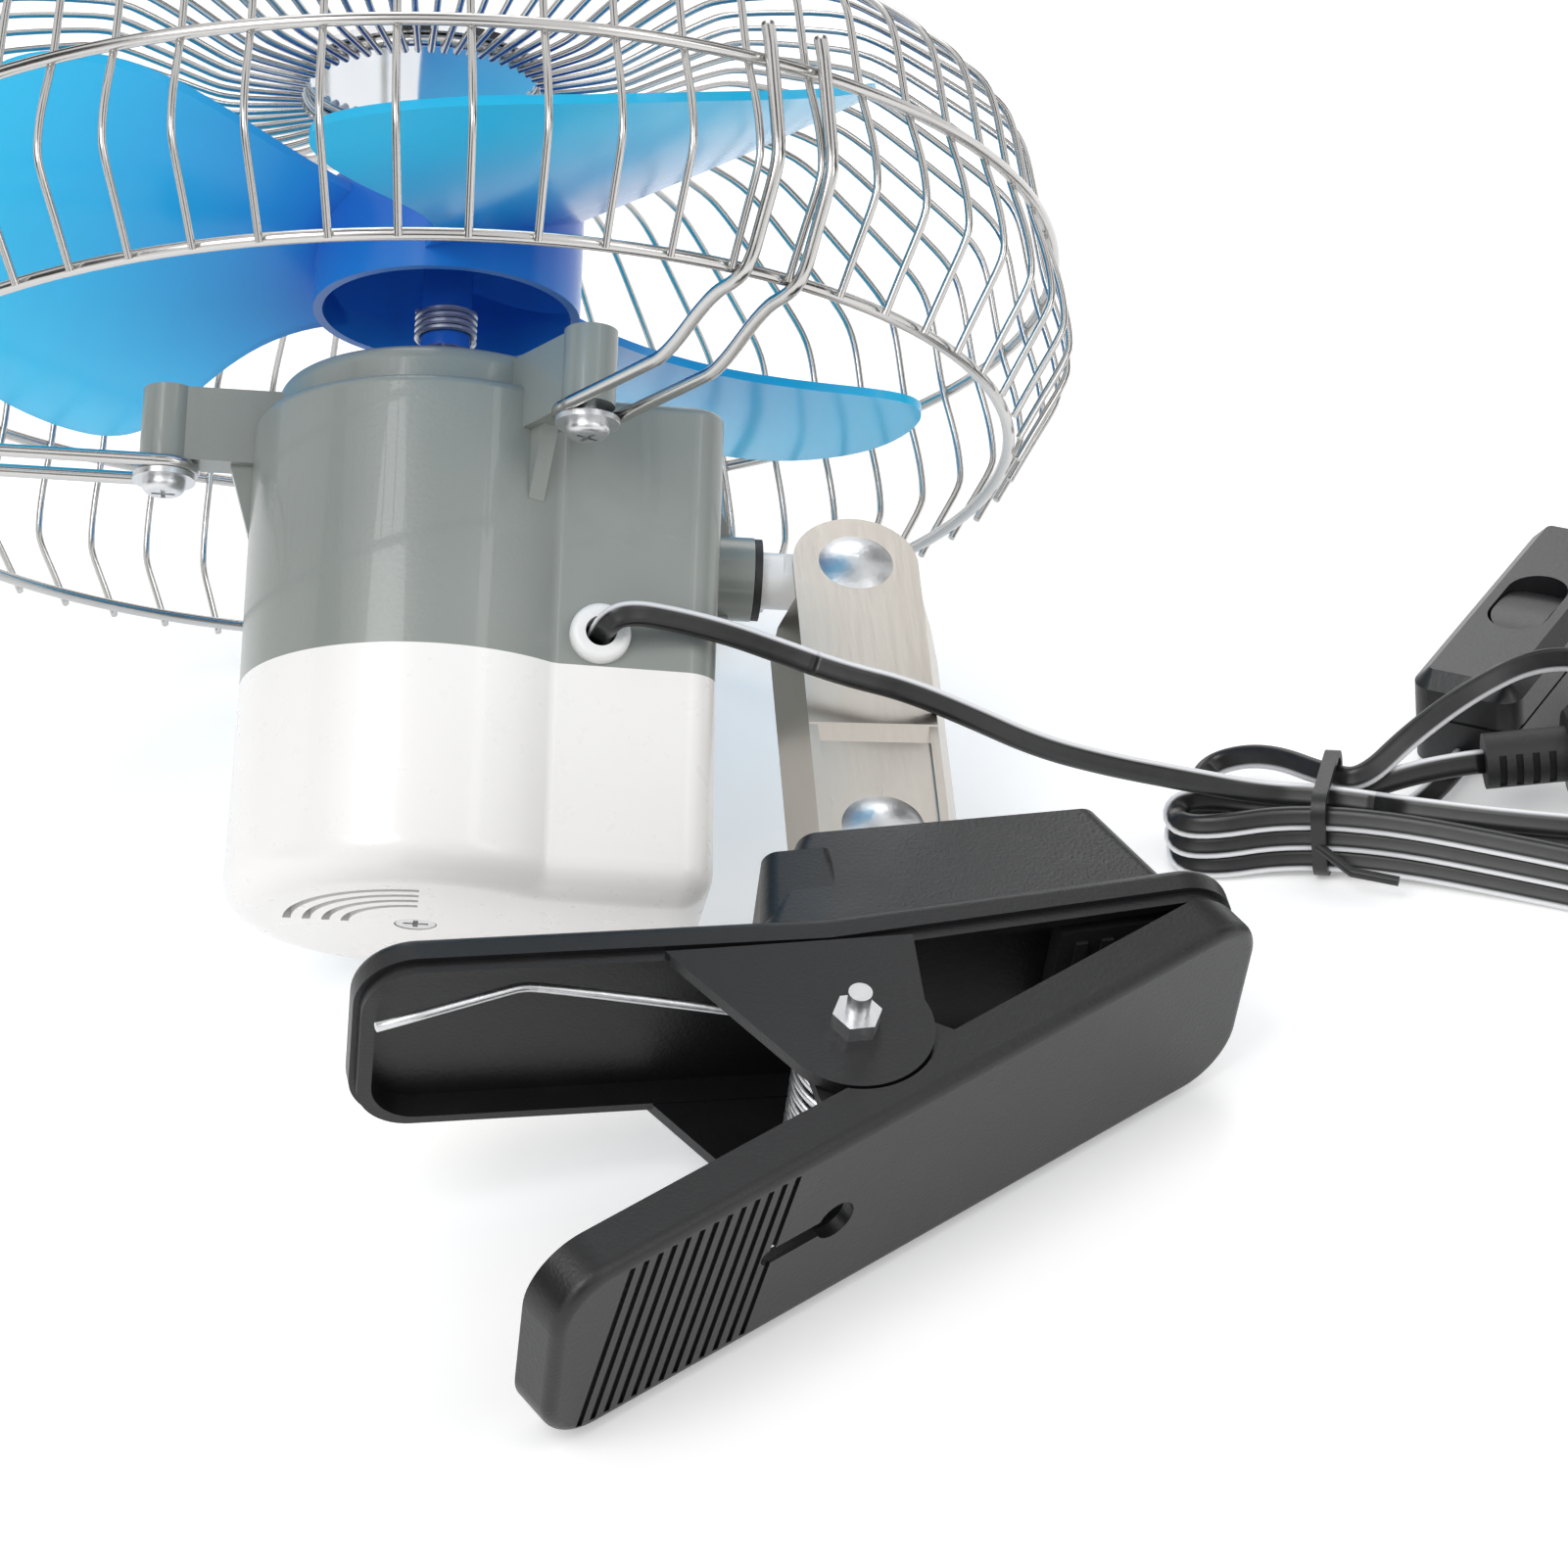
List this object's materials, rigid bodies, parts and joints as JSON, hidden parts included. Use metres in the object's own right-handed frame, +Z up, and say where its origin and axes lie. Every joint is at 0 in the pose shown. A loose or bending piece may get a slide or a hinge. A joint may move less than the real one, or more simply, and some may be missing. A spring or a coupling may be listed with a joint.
{
  "type": "clip fan",
  "caption": "Small oscillating fan with a wire guard on a spring clip, with a tilting bracket, an inline switch and a vehicle-socket plug on a tied cord",
  "frame": {"origin": "centre of the bottom of the fan's box as it lies on a table, without its cord", "axes": "+Z up from the table; +X runs along the pivot axis as seen from above, from the fan towards its pivot; +Y towards the guard, away from the clip"},
  "size_m": [0.3207, 0.235, 0.1528],
  "materials": {
    "guard_steel": "bright plated wire",
    "badge": "mirror",
    "screws": "zinc plated",
    "housing_grey": "satin",
    "cover_white": "satin gloss",
    "nylon": "satin",
    "washer_black": "matte",
    "can_steel": "plain",
    "bronze": "sintered",
    "gear_nylon": "satin",
    "blade_blue": "clear blue",
    "sheet_steel": "plain",
    "clip_black": "fine texture",
    "pad_black": "matte",
    "cord_black": "satin",
    "tie_black": "matte"
  },
  "bodies": {
    "clip_base": {"clip_upper_jaw": "clip_black", "upper_pad": "pad_black", "bracket": "sheet_steel", "tilt_rivet": "screws", "lower_rivet": "screws", "clip_bolt": "screws", "clip_nut": "screws", "clip_spring": "screws", "cord_lead_stand": "cord_black", "cord_hank": "cord_black", "cord_tail": "cord_black", "cord_tie": "tie_black", "switch_body": "clip_black", "plug_body": "clip_black", "plug_relief": "pad_black", "plug_side_contacts": "screws"},
    "pivot": {"pivot_shaft": "nylon", "pivot_washer": "washer_black", "drive_link": "can_steel"},
    "head": {"guard_rear_ring": "guard_steel", "guard_middle_ring": "guard_steel", "guard_centre_ring": "guard_steel", "guard_badge": "badge", "guard_side_wires": "guard_steel", "guard_front_wires": "guard_steel", "guard_stay_right": "guard_steel", "guard_stay_left": "guard_steel", "guard_stay_front": "guard_steel", "stay_screws": "screws", "housing_front": "housing_grey", "rear_cover": "cover_white", "rear_cover_screw": "screws", "cord_grommet": "nylon", "motor_can": "can_steel", "motor_bearings": "bronze", "cord_lead_head": "cord_black"},
    "impeller": {"fan_impeller": "blade_blue", "hub_clip": "screws", "motor_shaft": "can_steel", "worm": "gear_nylon"},
    "crank": {"crank_wheel": "gear_nylon"},
    "lower_jaw": {"clip_lower_jaw": "clip_black", "lower_pad": "pad_black"},
    "rocker": {"switch_rocker": "clip_black"},
    "tip": {"plug_tip": "screws"}
  },
  "joints": [
    {"name": "tilt", "type": "hinge", "parent": "clip_base", "child": "pivot", "pos_m": [0.05181, 0.01679, 0.04167], "axis": [-0.1674, 0.2548, -0.9524], "range_deg": [-12, 75], "deforming": ["cord_lead_stand"]},
    {"name": "oscillation", "type": "hinge", "parent": "pivot", "child": "head", "pos_m": [-0.00494, 0.01942, 0.05235], "axis": [0.9817, -0.0456, -0.1847], "range_deg": [-57.6, 2.4], "deforming": ["cord_lead_head"]},
    {"name": "blade_spin", "type": "hinge", "parent": "head", "child": "impeller", "pos_m": [0.00137, 0.04894, 0.07859], "axis": [0.1577, 0.738, 0.6562], "continuous": true},
    {"name": "crank_spin", "type": "hinge", "parent": "head", "child": "crank", "pos_m": [-0.00109, 0.00383, 0.02247], "axis": [0.9817, -0.0456, -0.1847], "continuous": true},
    {"name": "jaw", "type": "hinge", "parent": "clip_base", "child": "lower_jaw", "pos_m": [0.0394, -0.07382, 0.01961], "axis": [-0.1674, 0.2548, -0.9524], "range_deg": [0, 24], "stiffness_Nm_per_rad": 0.6, "springref_deg": -45.84, "deforming": ["clip_spring"]},
    {"name": "rocker_tip", "type": "hinge", "parent": "clip_base", "child": "rocker", "pos_m": [0.1496, 0.034, 0.0111], "axis": [-0.8192, 0.5736, 0], "range_deg": [-16, 0]},
    {"name": "tip_press", "type": "slide", "parent": "clip_base", "child": "tip", "axis": [-0.9986, 0.0523, 0], "range_m": [0, 0.003], "stiffness_N_per_m": 500, "springref_m": -0.001}
  ],
  "couplings": [
    {"joint": "crank_spin", "follows": "blade_spin", "ratio": 0.041667}
  ]
}
